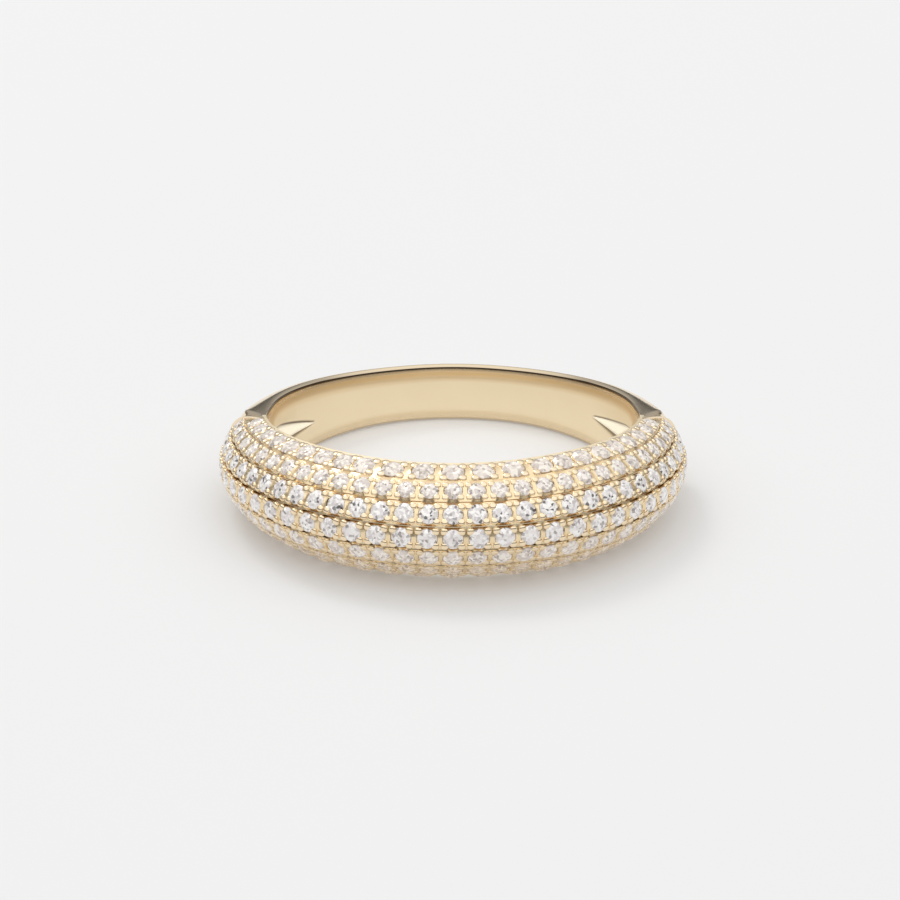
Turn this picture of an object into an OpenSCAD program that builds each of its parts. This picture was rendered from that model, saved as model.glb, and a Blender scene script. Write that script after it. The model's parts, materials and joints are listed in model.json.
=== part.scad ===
// Dome ring with a pave field, lying on its side with the dome at the front (-Y).
// The dome is hollow behind its field of stones. The plain shank meets it behind the field.
// All lengths are in millimetres and all angles in degrees.

/* [Finger hole] */
// Diameter of the finger hole
inner_d = 17.3; // [15:0.1:21]
// Radius of the rounded edges of the finger hole
edge_r = 0.5; // [0.35:0.05:0.6]

/* [Dome] */
// Width of the ring over the middle of the dome
dome_w = 5.52; // [4.8:0.04:6.4]
// Height of the crest of the dome above the finger
dome_t = 3.44; // [3:0.04:4]
// Height of the crest at the sides of the ring
side_t = 2.57; // [2.3:0.03:2.9]
// Fullness of the dome's outline, where 2 is an ellipse and less is more pointed
dome_ratio = 1.72; // [1.6:0.02:2]
// Angle from the middle up to which the dome keeps its full width
full_deg = 26; // [10:1:40]

/* [Shank] */
// Width of the shank at the back
back_w = 2.84; // [2.4:0.04:3.6]
// Thickness of the shank at the back
back_t = 0.88; // [0.8:0.02:1.4]

/* [Stones] */
// Largest stone diameter
stone_size = 1.1; // [0.9:0.02:1.2]
// Share of a cell's smaller side that a stone of the middle row fills
stone_fill = 0.79; // [0.7:0.01:0.8]
// Clearance between a stone and its seat
seat_gap = 0.03; // [0.02:0.005:0.05]
// Depth of the seats below the outline of the dome
seat_drop = 0.14; // [0.1:0.01:0.2]
// Depth of the cut lines between the rows
groove_drop = 0.3; // [0.2:0.02:0.36]
// Width of the cut lines between the rows
groove_w = 0.1; // [0.06:0.01:0.14]

/* [Hollow behind the dome] */
// Angle from the middle at which the hollow runs out to a point
hollow_deg = 127.5; // [115:0.5:140]
// Half width of the hollow behind the middle of the dome
hollow_w = 1.1; // [0.8:0.05:1.2]
// Metal left between the hollow and the outline of the dome
hollow_wall = 1.35; // [1.2:0.05:1.6]
// Half width of the hollow's leaf-shaped end, measured leaf_deg behind its point
leaf_half = 0.76; // [0.5:0.02:0.9]
// Depth of that end, measured at the same place
leaf_depth = 0.86; // [0.5:0.02:1.2]
// Angle behind the point at which the leaf-shaped end is measured
leaf_deg = 24.5; // [18:0.5:34]
// Flat wall left on each side of the hollow
hollow_rim = 0.35; // [0.3:0.05:0.6]

/* [Parts] */
// Part to draw

/* [Hidden] */
metal = [0.87, 0.74, 0.5];
gem = [0.93, 0.94, 0.96];
inner_r = inner_d / 2;
thin_deg = 168;
shank_drop = 0.06;
field_deg = 100;
joint_deg = field_deg + 6;
step = 4;
round_deg = [35, 70];
leaf_ratio = 0.67;
corner_deg = 45;
line_gap = 0.1;
cut_in = 0.2;

// Rows of stones from the lower edge to the upper edge of the dome. The columns are the
// pitch at the middle, how many stones each side keep it, the pitch beyond them, how many
// stones stand each side of the middle one, and their size beside the middle row's.
P_MID = 0;
N_MID = 1;
P_END = 2;
N_SIDE = 3;
FILL = 4;
rows = [
    [8.4, 3, 6.75, 11, 1.13],
    [5.85, 15, 5.85, 15, 0.97],
    [5.68, 16, 5.68, 16, 1],
    [5.87, 16, 5.87, 16, 1],
    [5.68, 16, 5.68, 16, 1],
    [5.85, 15, 5.85, 15, 0.97],
    [8.4, 3, 6.75, 11, 1.13],
];
n_rows = len(rows);

// Stone form as shares of its diameter
table_share = 0.56;
crown_share = 0.14;
pavilion_share = 0.42;

// Laws of width and thickness round the ring, for the angle a from the middle of the dome
function ease(x) = let (t = max(0, min(1, x))) t * t * (3 - 2 * t);
function half_w(a) = back_w / 2
    + (dome_w - back_w) / 2 * ease((thin_deg - abs(a)) / (thin_deg - full_deg));
function crest(a) = side_t + (dome_t - back_t) / 2 * cos(a)
    + ((dome_t + back_t) / 2 - side_t) * pow(cos(a), 2);
function fold(a) = a > 180 ? a - 360 : a;

// Outline of the section at angle a, for the parameter v from -90 to 90
function outline(a, v) =
    let (e = 2 / dome_ratio, c = max(0, cos(v)), s = min(1, abs(sin(v))))
    [inner_r + edge_r + (crest(a) - edge_r) * pow(c, e),
     sign(v) * half_w(a) * pow(s, e)];

// Lookup from the share of the outline's length to v, taken at the middle of the dome
v_list = [for (v = [0:3:90]) v];
seg_list = [for (i = [1:len(v_list) - 1])
    norm(outline(0, v_list[i]) - outline(0, v_list[i - 1]))];
function total(list, n) = n <= 0 ? 0 : list[n - 1] + total(list, n - 1);
arc_half = total(seg_list, len(seg_list));
arc_table = [for (i = [0:len(v_list) - 1]) [total(seg_list, i) / arc_half, v_list[i]]];
function v_at(u) = sign(u) * lookup(min(1, abs(u)), arc_table);
function arc_at(a) = arc_half * norm([crest(a) - edge_r, half_w(a)])
    / norm([dome_t - edge_r, dome_w / 2]);

// Points and frames on the outline surface, for angle a and share u from -1 to 1
function turn(rz, a) = [rz[0] * sin(a), -rz[0] * cos(a), rz[1]];
function unit(p) = p / norm(p);
function skin(a, u) = turn(outline(fold(a), v_at(u)), a);
function along(a, u) = unit(skin(a + 1, u) - skin(a - 1, u));
function up_way(a, u) = unit(skin(a, min(1, u + 0.04)) - skin(a, max(-1, u - 0.04)));
function out_way(a, u) = unit(cross(along(a, u), up_way(a, u)));
function lifted(a, u, h) = skin(a, u) + h * out_way(a, u);
function on_frame(a, u, r, t, h) =
    let (n = out_way(a, u), x = along(a, u), y = cross(n, x))
    skin(a, u) + r * cos(t) * x + r * sin(t) * y + h * n;

// Rows and cells
field_u = 0.975;
row_u = 2 * field_u / n_rows;
groove_u = groove_w / arc_half;
function row_low(k) = -field_u + k * row_u + groove_u / 2;
function row_high(k) = -field_u + (k + 1) * row_u - groove_u / 2;
function row_mid(k) = -field_u + (k + 0.5) * row_u;
function stone_deg(k, i) =
    let (m = rows[k][N_MID], j = abs(i))
    sign(i) * (min(j, m) * rows[k][P_MID] + max(0, j - m) * rows[k][P_END]);
function end_deg(k) = stone_deg(k, rows[k][N_SIDE]) + rows[k][P_END] / 2;
function half_cells(k) = [for (i = [0:rows[k][N_SIDE]])
    (i < rows[k][N_SIDE] ? (stone_deg(k, i) + stone_deg(k, i + 1)) / 2 : end_deg(k))];
function half_plain(k) = [for (a = [0:step:field_deg]) if (a > end_deg(k) + step / 4) a];
function mirrored(list) = [for (i = [len(list) - 1:-1:0]) -list[i]];
function half_bounds(k) = concat(half_cells(k), half_plain(k));
function bounds(k) = concat(mirrored(half_bounds(k)), half_bounds(k));
function n_cells(k) = 2 * rows[k][N_SIDE] + 1;
function first_cell(k) = len(half_plain(k));
function in_cells(k, a) = abs(a) < end_deg(k) + 0.01;
function cell_deg(k, i) = stone_deg(k, i) - stone_deg(k, i - 1);
function stone_d(k, i) =
    let (a = stone_deg(k, i), rz = outline(a, v_at(row_mid(k))),
         j = max(1, min(rows[k][N_SIDE], abs(i))),
         long = rz[0] * sin(min(cell_deg(k, j), cell_deg(k, min(rows[k][N_SIDE], j + 1)))))
    min(stone_size, rows[k][FILL] * stone_fill * min(long, arc_at(a) * row_u - groove_w / 2));

// Hollow behind the dome
function hollow_half(a) =
    let (x = max(0, hollow_deg - abs(a)))
    min(hollow_w, half_w(a) - edge_r - hollow_rim, leaf_half * pow(x / leaf_deg, leaf_ratio));
function hollow_depth(a) =
    min(leaf_depth * (hollow_deg - abs(a)) / leaf_deg, crest(a) - hollow_wall);

// Section of the hollow, as shares of its half width and of its depth
hollow_form = [[1, 0], [0.86, 0.55], [0.5, 0.88], [0, 1], [-0.5, 0.88], [-0.86, 0.55], [-1, 0]];
function inner_lines(a) =
    let (w = half_w(a), z0 = w - edge_r, zc = min(z0 - line_gap, max(line_gap, hollow_half(a))),
         deep = hollow_half(a) > 0 ? max(0, hollow_depth(a) + cut_in) : 0)
    concat(
        [[inner_r + edge_r, w]],
        [for (t = round_deg) [inner_r + edge_r * (1 - sin(t)), w - edge_r * (1 - cos(t))]],
        [[inner_r - cut_in, z0]],
        [for (f = hollow_form) [inner_r - cut_in + deep * f[1], zc * f[0]]],
        [[inner_r - cut_in, -z0]],
        [for (i = [len(round_deg) - 1:-1:0]) let (t = round_deg[i])
            [inner_r + edge_r * (1 - sin(t)), -w + edge_r * (1 - cos(t))]],
        [[inner_r + edge_r, -w]]);
n_lines = len(inner_lines(0));

// The inner side is a grid of full rounds, from the upper edge over the finger wall to
// the lower edge
rounds = [for (a = [-field_deg:step:360 - field_deg - step]) a];
n_front = 2 * field_deg / step + 1;
n_round = len(rounds);
inner_pts = [for (a = rounds) for (p = inner_lines(fold(a))) turn(p, a)];
function at_inner(i, m) = (i % n_round) * n_lines + m;
inner_faces = [for (i = [0:n_round - 1]) for (m = [0:n_lines - 2]) each
    [[at_inner(i, m), at_inner(i + 1, m), at_inner(i + 1, m + 1)],
     [at_inner(i, m), at_inner(i + 1, m + 1), at_inner(i, m + 1)]]];

// The pave field, row by row: lower edge, upper edge, then nine points a cell
function edge_drop(k, a) = in_cells(k, a) ? groove_drop : shank_drop;
function row_pts(k) = concat(
    [for (a = bounds(k)) lifted(a, row_low(k), -edge_drop(k, a))],
    [for (a = bounds(k)) lifted(a, row_high(k), -edge_drop(k, a))],
    [for (i = [-rows[k][N_SIDE]:rows[k][N_SIDE]]) each
        let (a = stone_deg(k, i), u = row_mid(k), d = stone_d(k, i))
        concat([for (j = [0:7]) on_frame(a, u, d / 2 + seat_gap, corner_deg * j, -seat_drop)],
               [on_frame(a, u, 0, 0, -seat_drop - pavilion_share * d - 2 * seat_gap)])]);
function row_size(k) = 2 * len(bounds(k)) + 9 * n_cells(k);
function row_start(k) = k <= 0 ? len(inner_pts) : row_start(k - 1) + row_size(k - 1);
starts = [for (k = [0:n_rows]) row_start(k)];
counts = [for (k = [0:n_rows - 1]) len(bounds(k))];
function low_at(k, i) = starts[k] + i;
function high_at(k, i) = starts[k] + counts[k] + i;
function cell_at(k, c) = starts[k] + 2 * counts[k] + 9 * c;
function cell_faces(k, c) =
    let (i = first_cell(k) + c, o = cell_at(k, c),
         b0 = low_at(k, i), b1 = low_at(k, i + 1), t0 = high_at(k, i), t1 = high_at(k, i + 1))
    concat(
        [[b1, t1, o], [o, t1, o + 1], [o + 1, t1, o + 2], [t1, t0, o + 2],
         [o + 2, t0, o + 3], [o + 3, t0, o + 4], [t0, b0, o + 4], [o + 4, b0, o + 5],
         [o + 5, b0, o + 6], [b0, b1, o + 6], [o + 6, b1, o + 7], [o + 7, b1, o]],
        [for (j = [0:7]) [o + j, o + (j + 1) % 8, o + 8]]);
function plain_faces(k, i) =
    [[low_at(k, i), low_at(k, i + 1), high_at(k, i + 1)],
     [low_at(k, i), high_at(k, i + 1), high_at(k, i)]];
function row_faces(k) = concat(
    [for (c = [0:n_cells(k) - 1]) each cell_faces(k, c)],
    [for (i = [0:counts[k] - 2])
        if (i < first_cell(k) || i >= first_cell(k) + n_cells(k)) each plain_faces(k, i)]);

// Strip between two edges with different steps: each span goes to the nearest point of
// the other edge
function middles(list) = [for (i = [0:len(list) - 2]) (list[i] + list[i + 1]) / 2];
function n_below(list, x, eps) = len([for (y = list) if (y < x + eps) y]);
function strip(p, pa, q, qa) =
    let (pm = middles(pa), qm = middles(qa))
    concat([for (i = [0:len(pm) - 1]) [p[i], p[i + 1], q[n_below(qm, pm[i], -1e-6)]]],
           [for (j = [0:len(qm) - 1]) [q[j + 1], q[j], p[n_below(pm, qm[j], 1e-6)]]]);
function index_row(k, high) = [for (i = [0:counts[k] - 1]) high ? high_at(k, i) : low_at(k, i)];
front_degs = [for (i = [0:n_front - 1]) rounds[i]];
front_top = [for (i = [0:n_front - 1]) at_inner(i, 0)];
front_low = [for (i = [0:n_front - 1]) at_inner(i, n_lines - 1)];
strip_faces = concat(
    strip(front_low, front_degs, index_row(0, false), bounds(0)),
    [for (k = [0:n_rows - 2]) each
        strip(index_row(k, true), bounds(k), index_row(k + 1, false), bounds(k + 1))],
    strip(index_row(n_rows - 1, true), bounds(n_rows - 1), front_top, front_degs));

// The plain shank behind the field, with one line for each edge of each row
shank_u = [for (k = [0:n_rows - 1]) each [row_low(k), row_high(k)]];
n_u = len(shank_u);
shank_degs = [for (i = [n_front:n_round - 1]) rounds[i]];
shank_start = starts[n_rows];
shank_pts = [for (a = shank_degs) for (u = shank_u) lifted(a, u, -shank_drop)];
function end_at(m, right) =
    let (k = floor(m / 2), i = right ? counts[k] - 1 : 0)
    m % 2 == 0 ? low_at(k, i) : high_at(k, i);
function at_shank(i, m) =
    m < 0 ? at_inner(n_front - 1 + i, n_lines - 1)
    : m >= n_u ? at_inner(n_front - 1 + i, 0)
    : i == 0 ? end_at(m, true)
    : i > len(shank_degs) ? end_at(m, false)
    : shank_start + (i - 1) * n_u + m;
shank_faces = [for (i = [0:len(shank_degs)]) for (m = [-1:n_u - 1]) each
    [[at_shank(i, m), at_shank(i + 1, m), at_shank(i + 1, m + 1)],
     [at_shank(i, m), at_shank(i + 1, m + 1), at_shank(i, m + 1)]]];

band_pts = concat(inner_pts, [for (k = [0:n_rows - 1]) each row_pts(k)], shank_pts);
band_faces = concat(inner_faces, [for (k = [0:n_rows - 1]) each row_faces(k)],
                    strip_faces, shank_faces);
function flipped(faces) = [for (f = faces) [f[2], f[1], f[0]]];

// Stones: girdle, table and culet on the frame of each seat
stone_list = [for (k = [0:n_rows - 1]) for (i = [-rows[k][N_SIDE]:rows[k][N_SIDE]]) [k, i]];
function stone_pts(k, i) =
    let (a = stone_deg(k, i), u = row_mid(k), d = stone_d(k, i), h = seat_gap - seat_drop)
    concat([for (j = [0:7]) on_frame(a, u, d / 2, corner_deg * j, h)],
           [for (j = [0:7])
               on_frame(a, u, d / 2 * table_share, corner_deg * j + corner_deg / 2, h + crown_share * d)],
           [on_frame(a, u, 0, 0, h - pavilion_share * d)]);
function stone_faces(o) = concat(
    [for (j = [0:7]) [o + j, o + (j + 1) % 8, o + 8 + j]],
    [for (j = [0:7]) [o + 8 + j, o + (j + 1) % 8, o + 8 + (j + 1) % 8]],
    [for (j = [1:6]) [o + 8, o + 8 + j, o + 9 + j]],
    [for (j = [0:7]) [o + (j + 1) % 8, o + j, o + 16]]);
all_stone_pts = [for (s = stone_list) each stone_pts(s[0], s[1])];
all_stone_faces = [for (n = [0:len(stone_list) - 1]) each stone_faces(17 * n)];

// The ring lies on the widest line of its side: two points beside the dome and the back
side_degs = [for (i = [0:n_front - 1]) if (rounds[i] >= 0) rounds[i]];
function side_low(a, t) =
    -half_w(a) * cos(t) + (inner_r + edge_r) * cos(a) * sin(t);
function front_side(t) = min([for (a = side_degs) side_low(a, t)]);
function rest_tilt(lo, hi, n) =
    let (t = (lo + hi) / 2)
    n == 0 ? t : front_side(t) < side_low(180, t) ? rest_tilt(t, hi, n - 1)
    : rest_tilt(lo, t, n - 1);
tilt = rest_tilt(0, 30, 40);
rest_h = -side_low(180, tilt);
function tilted_y(p) = p[1] * cos(tilt) + p[2] * sin(tilt);
y_front = min([for (k = [0:n_rows - 1]) for (p = stone_pts(k, 0)) tilted_y(p)]);
y_back = max([for (u = shank_u) tilted_y(lifted(180, u, -shank_drop))]);

module at_rest() {
    translate([0, -(y_front + y_back) / 2, rest_h])
        rotate([-tilt, 0, 0])
            children();
}

module whole_ring() {
    polyhedron(points = band_pts, faces = flipped(band_faces), convexity = 8);
}

module finger_hole() {
    cylinder(r = inner_r, h = 2 * dome_w, center = true, $fn = 180);
}

// All that lies behind the joint between the dome and the shank
module behind_joint() {
    reach = 6 * (inner_r + dome_t);
    linear_extrude(height = 2 * dome_w, center = true)
        polygon([[0, 0], [reach * sin(joint_deg), -reach * cos(joint_deg)],
                 [-reach * sin(joint_deg), -reach * cos(joint_deg)]]);
}

module dome() {
    color(metal)
        at_rest()
            difference() {
                whole_ring();
                finger_hole();
                behind_joint();
            }
}

module shank() {
    color(metal)
        at_rest()
            difference() {
                intersection() {
                    whole_ring();
                    behind_joint();
                }
                finger_hole();
            }
}

module stones() {
    color(gem)
        at_rest()
            polyhedron(points = all_stone_pts, faces = flipped(all_stone_faces), convexity = 4);
}

dome();
shank();
stones();
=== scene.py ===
"""Dome ring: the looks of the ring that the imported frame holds, as a Blender add-on.

Angles round the ring run from the middle of the dome, which faces -Y. A place on the dome's
outline is an angle and a share from -1 at the lower edge to 1 at the upper edge.
"""

import json
import math

import bpy
import numpy as np
from bpy.props import FloatProperty, FloatVectorProperty, PointerProperty
from bpy.types import Operator, Panel, PropertyGroup
from mathutils import Matrix, Vector


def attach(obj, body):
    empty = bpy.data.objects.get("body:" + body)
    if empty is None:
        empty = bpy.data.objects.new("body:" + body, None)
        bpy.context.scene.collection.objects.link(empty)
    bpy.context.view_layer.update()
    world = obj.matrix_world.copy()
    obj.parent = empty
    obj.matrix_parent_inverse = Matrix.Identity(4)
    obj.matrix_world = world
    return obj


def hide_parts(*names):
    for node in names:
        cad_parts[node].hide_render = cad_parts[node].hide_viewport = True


bl_info = {
    "name": "Dome Ring",
    "version": (1, 0, 0),
    "blender": (4, 5, 0),
    "location": "3D View > Sidebar > Ring",
    "description": "Builds a gold dome ring with a field of small cut stones",
    "category": "Add Mesh",
}

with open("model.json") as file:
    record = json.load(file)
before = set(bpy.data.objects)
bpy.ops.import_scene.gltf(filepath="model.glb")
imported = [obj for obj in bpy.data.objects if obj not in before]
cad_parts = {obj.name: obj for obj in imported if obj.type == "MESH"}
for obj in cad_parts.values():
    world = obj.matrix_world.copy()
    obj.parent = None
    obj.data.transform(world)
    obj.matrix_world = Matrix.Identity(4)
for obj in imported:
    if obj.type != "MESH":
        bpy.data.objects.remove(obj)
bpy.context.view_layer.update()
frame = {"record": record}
MM = 0.001

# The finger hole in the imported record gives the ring's place, its tilt and its size
BORE = next(m for m in frame["record"]["mounts"] if m["name"] == "finger_bore")
HOLE_CENTRE = np.array(BORE["pos_m"])
HOLE_R = BORE["dims"]["r_mm"] * MM
TILT = math.atan2(BORE["axis"][1], BORE["axis"][2])


# Settings that a user would change

def length(name, text, default):
    return FloatProperty(name=name, description=text, default=default, min=0, unit="LENGTH",
                         subtype="DISTANCE", precision=5)


def angle(name, text, degrees):
    return FloatProperty(name=name, description=text, default=math.radians(degrees),
                         unit="ROTATION", subtype="ANGLE")


def share(name, text, default, low=0.0, high=1.0):
    return FloatProperty(name=name, description=text, default=default, min=low, max=high,
                         subtype="FACTOR")


def colour(name, text, rgb):
    return FloatVectorProperty(name=name, description=text, default=rgb, size=3, min=0, max=1,
                               subtype="COLOR")


class RingSizes(PropertyGroup):
    edge_r: length("Edge radius", "Rounding of the finger hole's edges", 0.5 * MM)
    dome_w: length("Dome width", "Width of the ring over the middle of the dome", 5.52 * MM)
    dome_t: length("Dome height", "Height of the crest above the finger", 3.44 * MM)
    side_t: length("Side height", "Height of the crest at the sides of the ring", 2.57 * MM)
    back_w: length("Back width", "Width of the shank at the back", 2.84 * MM)
    back_t: length("Back thickness", "Thickness of the shank at the back", 0.88 * MM)
    dome_form: FloatProperty(name="Dome form", default=1.72, min=1.4, max=2.4,
                             description="2 is an ellipse and less is more pointed")
    full_deg: angle("Full width up to", "Angle up to which the dome keeps its width", 26)
    thin_deg: angle("Back width from", "Angle from which the shank has its back width", 168)
    shank_drop: length("Shank drop", "How far the shank lies below the stones", 0.06 * MM)
    shoulder_drop: length("Shoulder drop", "How much lower it is beside the field", 0.26 * MM)
    face_deg: angle("Shoulder slope", "How far the shoulder's flat face slopes outwards", 9.2)
    bed_drop: length("Bed drop", "Depth of the bed under the cut rails", 0.22 * MM)
    hollow_deg: angle("Hollow up to", "Angle at which the hollow runs out to a point", 127.5)
    hollow_w: length("Hollow half width", "Half width behind the middle of the dome", 1.1 * MM)
    hollow_wall: length("Hollow wall", "Metal left behind the stones", 1.35 * MM)
    leaf_half: length("Leaf half width", "Half width of the hollow's end", 0.72 * MM)
    leaf_depth: length("Leaf depth", "Depth of the hollow's end", 0.4 * MM)
    leaf_run: angle("Leaf run", "Angle behind the point where these are met", 24.5)


class StoneSizes(PropertyGroup):
    stone_size: length("Largest stone", "Largest stone diameter", 1.12 * MM)
    stone_fill: share("Fill", "Share of a cell's smaller side that a middle stone fills", 0.82)
    groove_w: length("Cut line width", "Width of the cut lines between rows", 0.05 * MM)
    seat_drop: length("Girdle drop", "Depth of the girdles below the outline", 0.08 * MM)
    prong_r: length("Prong radius", "Half the width of a prong's tip on a 1 mm stone", 0.19 * MM)
    border_deg: angle("Field end", "Angle at which the field ends on the crest", 98.5)
    border_bow: angle("Field bow", "How much sooner it ends at the edges", 20)


class RingColours(PropertyGroup):
    gold: colour("Gold", "Pale yellow gold", (0.96, 0.79, 0.55))
    wall_gold: colour("Wall gold", "Satin gold of the finger wall", (1.0, 0.86, 0.61))
    # Colour of a painted reflection on the finger hole's rounded edge
    reflected_edge_gold: colour("Edge gold", "Gold of the wall's curved edge", (0.72, 0.47, 0.20))
    cut_gold: colour("Cut gold", "Gold between the stones", (0.97, 0.78, 0.50))
    # Colour of the painted shade deep between the stones
    recess_shade_gold: colour("Deep gold", "Gold deep between the stones", (0.36, 0.19, 0.08))
    # Matt gold of the hollow, also given off as a painted glow
    glowing_hollow_gold: colour("Hollow gold", "Matt gold inside the hollow", (0.97, 0.90, 0.74))
    # Colour of the painted shade round the hollow and of the painted dark line under the hole's lip
    line: colour("Dark line", "Line round the hollow and the finger hole", (0.10, 0.06, 0.03))
    stone: colour("Stone", "Clear stone", (0.97, 0.97, 0.98))
    floor: colour("Floor", "Pale ground", (0.672, 0.672, 0.672))


class StudioSettings(PropertyGroup):
    elevation: angle("Elevation", "Height of the camera above the ground", 24.96)
    distance: length("Distance", "Distance of the camera from the ring", 300 * MM)
    scale: FloatProperty(name="Scale", default=20.53, description="Picture points a millimetre")
    centre_x: FloatProperty(name="Across", default=453.1, description="Ring centre in the picture")
    centre_y: FloatProperty(name="Down", default=493.3, description="Ring centre in the picture")


# Rows from the lower edge to the upper edge: pitch at the middle, how many stones on each
# side keep it, the pitch beyond them, how many stones stand on each side of the middle, and
# their size beside the middle row's
ROWS = (
    (8.4, 3, 6.75, 11, 1.13),
    (5.85, 15, 5.85, 15, 0.97),
    (5.68, 16, 5.68, 16, 1.0),
    (5.87, 16, 5.87, 16, 1.0),
    (5.68, 16, 5.68, 16, 1.0),
    (5.85, 15, 5.85, 15, 0.97),
    (8.4, 3, 6.75, 11, 1.13),
)
FIELD_U = 0.975
ROW_U = 2 * FIELD_U / len(ROWS)


# The ring's form: laws of width and height round the ring, and the outline of a section

def sizes():
    return bpy.context.scene.ring_sizes


def gems():
    return bpy.context.scene.ring_stones


def colours():
    return bpy.context.scene.ring_colours


def ease(x):
    t = np.clip(x, 0, 1)
    return t * t * (3 - 2 * t)


def way(a, start, end):
    """How far the angle a, on either side, has come from start to end, from 0 to 1."""
    return ease((np.abs(a) - start) / (end - start))


def half_w(a):
    s = sizes()
    full_share = way(a, math.degrees(s.thin_deg), math.degrees(s.full_deg))
    return s.back_w / 2 + (s.dome_w - s.back_w) / 2 * full_share


def crest(a):
    s = sizes()
    c = np.cos(np.radians(a))
    return s.side_t + (s.dome_t - s.back_t) / 2 * c + ((s.dome_t + s.back_t) / 2 - s.side_t) * c * c


def outline(a, v):
    """Radius and height of the outline at angle a, for v from -90 to 90."""
    s = sizes()
    power = 2 / s.dome_form
    out = np.maximum(np.cos(np.radians(v)), 0) ** power
    up = np.sign(v) * np.minimum(np.abs(np.sin(np.radians(v))), 1) ** power
    return HOLE_R + s.edge_r + (crest(a) - s.edge_r) * out, half_w(a) * up


# Where the shoulder's flat face ends, as a share of the crest's height, at angles round the ring
CREASE = ((86, 0.55), (92, 0.48), (97, 0.39), (101, 0.33), (107, 0.27), (113, 0.22),
          (122, 0.2), (131, 0.16), (142, 0.09), (155, 0.07), (180, 0.07))

# How full the side beyond the crease is at angles round the ring: 2 is an ellipse
SIDE_FORM = ((90, 1.4), (98, 1.05), (130, 1.05), (150, 1.5))

# Share of the face's slope that it has at its inner edge
FACE_START = 0.4

# Degrees behind the field's end where the shoulder's own form begins, and how soon it is whole
SHOULDER_FROM, SHOULDER_RUN = 0.3, 3


def crease(a):
    return np.interp(np.abs(a), *zip(*CREASE))


def crease_share(a):
    """The crease's place on the outline, from 0 at the crest to 1 at the edge."""
    v, run, _ = arc_table()
    at = np.degrees(np.arccos(crease(a) ** (sizes().dome_form / 2)))
    return np.interp(at, v, run)


def arc_table():
    v = np.arange(0, 91, 3.0)
    r, z = outline(np.zeros_like(v), v)
    run = np.concatenate([[0], np.cumsum(np.hypot(np.diff(r), np.diff(z)))])
    return v, run / run[-1], run[-1]


def v_at(u):
    v, run, _ = arc_table()
    return np.sign(u) * np.interp(np.minimum(np.abs(u), 1), run, v)


def arc_at(a):
    s = sizes()
    _, _, whole = arc_table()
    return whole * np.hypot(crest(a) - s.edge_r, half_w(a)) / math.hypot(
        s.dome_t - s.edge_r, s.dome_w / 2)


def turn(r, z, a):
    t = np.radians(a)
    return np.stack([r * np.sin(t), -r * np.cos(t), z + 0 * r], axis=-1)


def fold(a):
    return (np.asarray(a, float) + 180) % 360 - 180


def skin(a, u):
    r, z = outline(fold(a), v_at(u))
    return turn(r, z, a)


def unit(p):
    return p / np.linalg.norm(p, axis=-1, keepdims=True)


def frames(a, u):
    """Directions along the ring, up its outline and out of it, at each place."""
    along = unit(skin(a + 1, u) - skin(a - 1, u))
    up = unit(skin(a, np.minimum(u + 0.04, 1)) - skin(a, np.maximum(u - 0.04, -1)))
    out = unit(np.cross(along, up))
    return along, np.cross(out, along), out


def shank_skin(a, u):
    """Points behind the field, at angles a and shares u: a flat face from the finger hole's
    edge out to a crease, then a rounder side out to the crest."""
    s = sizes()
    r, _ = outline(a, v_at(u))
    c, w = crease(a), half_w(a)
    out = (r - HOLE_R - s.edge_r) / (crest(a) - s.edge_r)
    x = np.clip(out / c, 0, 1)
    fall = math.tan(s.face_deg) * (crest(a) - s.edge_r) * c
    face = w - fall * x * (FACE_START + (1 - FACE_START) * x)
    t = np.clip((out - c) / (1 - c), 0, 1)
    power = np.interp(np.abs(a), *zip(*SIDE_FORM))
    side = (w - fall) * (1 - t ** power) ** (1 / power)
    z = np.where(out < c, face, side)
    drop = s.shank_drop + s.shoulder_drop * way(a, 97, 102) * way(a, 150, 115)
    faced = turn(r - drop * t, np.sign(u) * z, a)
    behind = ease((np.abs(a) - border_deg(u) - SHOULDER_FROM) / SHOULDER_RUN)[:, None]
    return skin(a, u) + (faced - skin(a, u)) * behind


def lifted(a, u, h):
    a, u, h = np.broadcast_arrays(np.asarray(a, float), u, h)
    return skin(a, u) + h[..., None] * frames(a, u)[2]


def at_rest(p):
    """From the ring's own upright frame to where it lies on the floor."""
    c, s = math.cos(TILT), math.sin(TILT)
    x, y, z = p[..., 0], p[..., 1], p[..., 2]
    return np.stack([x, y * c + z * s, z * c - y * s], axis=-1) + HOLE_CENTRE


# The stone field

def row_mid(k):
    return -FIELD_U + (k + 0.5) * ROW_U


def stone_deg(k, i):
    middle, kept, beyond = ROWS[k][:3]
    j = abs(i)
    return math.copysign(min(j, kept) * middle + max(0, j - kept) * beyond, i)


def end_deg(k):
    return stone_deg(k, ROWS[k][3]) + ROWS[k][2] / 2


def border_deg(u):
    g = gems()
    return math.degrees(g.border_deg) - math.degrees(g.border_bow) * np.asarray(u) ** 2


def edges_deg(k, i):
    """The angles at which the cell of stone i in row k begins and ends."""
    side = ROWS[k][3]
    here = stone_deg(k, i)
    low = -end_deg(k) if i == -side else (stone_deg(k, i - 1) + here) / 2
    high = end_deg(k) if i == side else (stone_deg(k, i + 1) + here) / 2
    return low, high


def stone_d(k, i):
    g = gems()
    a = stone_deg(k, i)
    r, _ = outline(np.array([a]), v_at(np.array([row_mid(k)])))
    low, high = edges_deg(k, i)
    long = r[0] * math.sin(math.radians(high - low))
    tall = arc_at(np.array([a]))[0] * ROW_U - g.groove_w / 2
    return min(g.stone_size, ROWS[k][4] * g.stone_fill * min(long, tall))


def cells():
    return [(k, i) for k in range(len(ROWS)) for i in range(-ROWS[k][3], ROWS[k][3] + 1)]


# Mesh helpers

def clear_selection():
    if bpy.context.mode != "OBJECT":
        bpy.ops.object.mode_set(mode="OBJECT")
    bpy.ops.object.select_all(action="DESELECT")


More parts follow.
